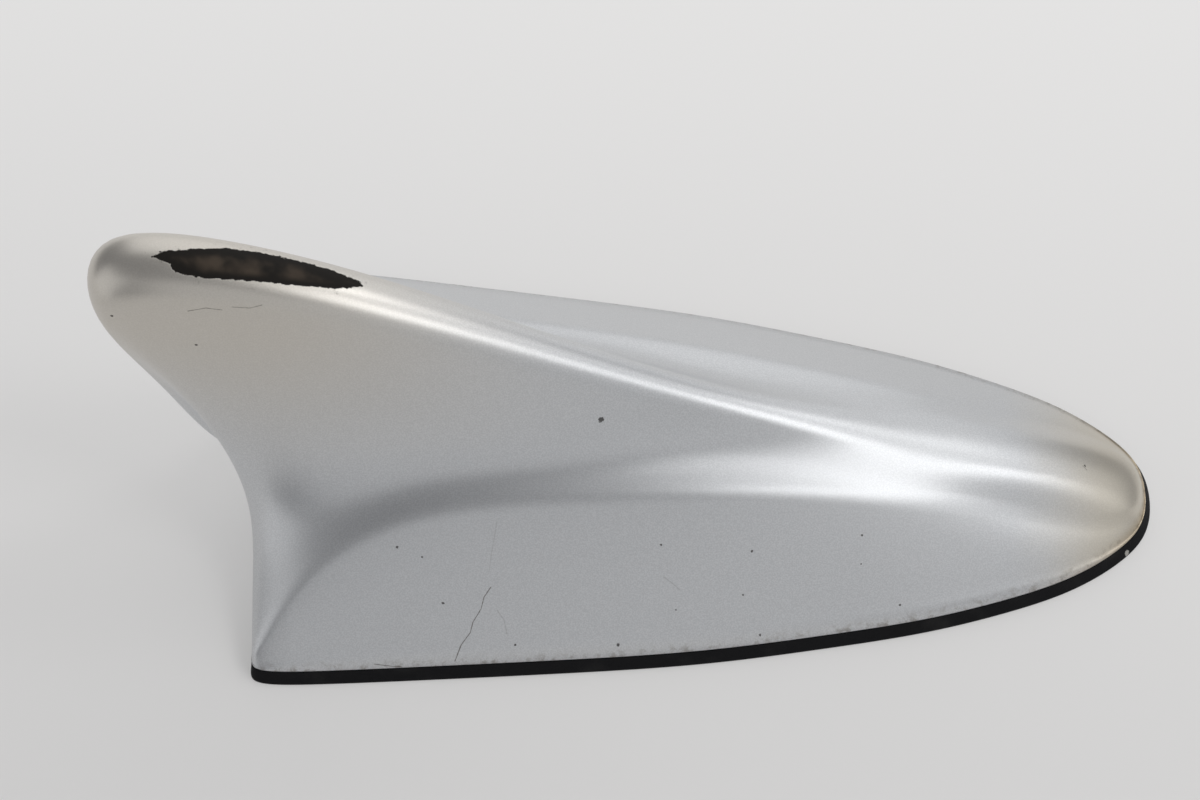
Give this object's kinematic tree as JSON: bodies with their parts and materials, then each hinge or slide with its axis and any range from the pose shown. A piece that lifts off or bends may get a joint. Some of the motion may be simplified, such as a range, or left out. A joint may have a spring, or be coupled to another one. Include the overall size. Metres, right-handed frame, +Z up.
{
  "type": "shark fin roof aerial",
  "caption": "Shark fin roof aerial with a painted moulded cover, rubber gasket, die-cast base with a tapped boss and recessed sockets.",
  "frame": {"origin": "on the axis of the tapped fixing hole, in the plane of the roof", "axes": "+X forward to the nose of the aerial, +Y to its left, +Z up away from the roof"},
  "size_m": [0.163, 0.0784, 0.0574],
  "materials": {
    "cover": "silver metallic paint, worn and scratched",
    "gasket": "matt moulded rubber",
    "base_plate": "as cast",
    "hole_seal": "closed-cell foam",
    "cover_seal": "matt",
    "cover_screws": "zinc plated",
    "earth_ring": "bright",
    "main_board": "solder-masked laminate",
    "board_screws": "zinc plated",
    "fin_board": "solder-masked laminate",
    "fin_board_holder": "moulded",
    "top_cap": "tin plated",
    "loading_coil": "copper wire",
    "phone_element": "tin plated",
    "satellite_patch": "ceramic with a silvered face",
    "satellite_pad": "adhesive foam",
    "satellite_pin": "tinned",
    "position_patch": "ceramic with a silvered face",
    "position_pad": "adhesive foam",
    "position_pin": "tinned",
    "shield_can": "tin plated",
    "amplifier_chips": "moulded",
    "chip_parts": "ceramic",
    "socket_housing": "moulded",
    "socket_shells": "gold flashed",
    "socket_pins": "gold flashed",
    "contact_spring": "gold flashed",
    "foam_pad": "open-cell foam"
  },
  "bodies": {
    "root": {"cover": "cover", "gasket": "gasket", "base_plate": "base_plate", "hole_seal": "hole_seal", "cover_seal": "cover_seal", "cover_screws": "cover_screws", "earth_ring": "earth_ring", "main_board": "main_board", "board_screws": "board_screws", "fin_board": "fin_board", "fin_board_holder": "fin_board_holder", "top_cap": "top_cap", "loading_coil": "loading_coil", "phone_element": "phone_element", "satellite_patch": "satellite_patch", "satellite_pad": "satellite_pad", "satellite_pin": "satellite_pin", "position_patch": "position_patch", "position_pad": "position_pad", "position_pin": "position_pin", "shield_can": "shield_can", "amplifier_chips": "amplifier_chips", "chip_parts": "chip_parts", "socket_housing": "socket_housing", "socket_shells": "socket_shells", "socket_pins": "socket_pins", "contact_spring": "contact_spring", "foam_pad": "foam_pad"}
  },
  "joints": []
}
